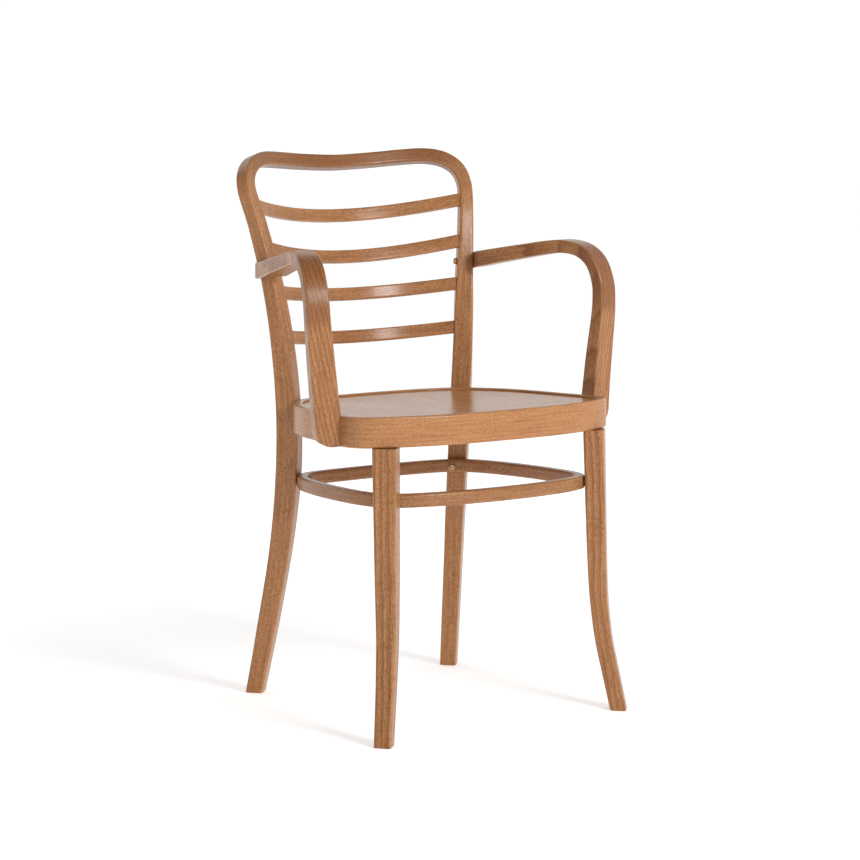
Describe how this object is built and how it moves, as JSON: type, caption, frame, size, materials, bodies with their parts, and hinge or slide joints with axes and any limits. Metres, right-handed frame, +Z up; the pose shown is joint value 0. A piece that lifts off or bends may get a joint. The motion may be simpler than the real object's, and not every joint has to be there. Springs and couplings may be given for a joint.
{
  "type": "armchair",
  "caption": "Bentwood armchair with a curved ladder back, round-cornered seat ring, sweeping open arms, splayed legs and a bent stretcher ring.",
  "frame": {"origin": "middle of the chair's bounding box, on the floor", "axes": "+Z up; -Y is the way the sitter faces; +X is to the sitter's left, which is the right-hand side seen from the front"},
  "size_m": [0.5442, 0.4912, 0.8244],
  "materials": {
    "stained_beech": "steam-bent beech, brown stain, satin lacquer",
    "seat_veneer": "moulded beech plywood, same stain, smoother and glossier lacquer",
    "bronzed_metal": "brown bronzed brass fastener heads",
    "steel": "plain zinc-plated steel, out of sight under the seat"
  },
  "bodies": {
    "root": {"back_frame": "stained_beech", "back_slat_1": "stained_beech", "back_slat_2": "stained_beech", "back_slat_3": "stained_beech", "back_slat_4": "stained_beech", "seat_ring": "stained_beech", "seat_panel": "seat_veneer", "front_leg_left": "stained_beech", "front_leg_right": "stained_beech", "stretcher_ring": "stained_beech", "arm_left": "stained_beech", "arm_right": "stained_beech", "arm_bolt_right": "bronzed_metal", "rear_leg_bolt_right": "steel", "rear_leg_washer_right": "steel", "arm_lower_bolt_right": "steel", "arm_lower_washer_right": "steel", "stretcher_rear_screw_right": "bronzed_metal", "stretcher_rear_cup_right": "bronzed_metal", "stretcher_front_screw_right": "bronzed_metal", "stretcher_front_cup_right": "bronzed_metal", "arm_bolt_left": "bronzed_metal", "rear_leg_bolt_left": "steel", "rear_leg_washer_left": "steel", "arm_lower_bolt_left": "steel", "arm_lower_washer_left": "steel", "stretcher_rear_screw_left": "bronzed_metal", "stretcher_rear_cup_left": "bronzed_metal", "stretcher_front_screw_left": "bronzed_metal", "stretcher_front_cup_left": "bronzed_metal"}
  },
  "joints": []
}
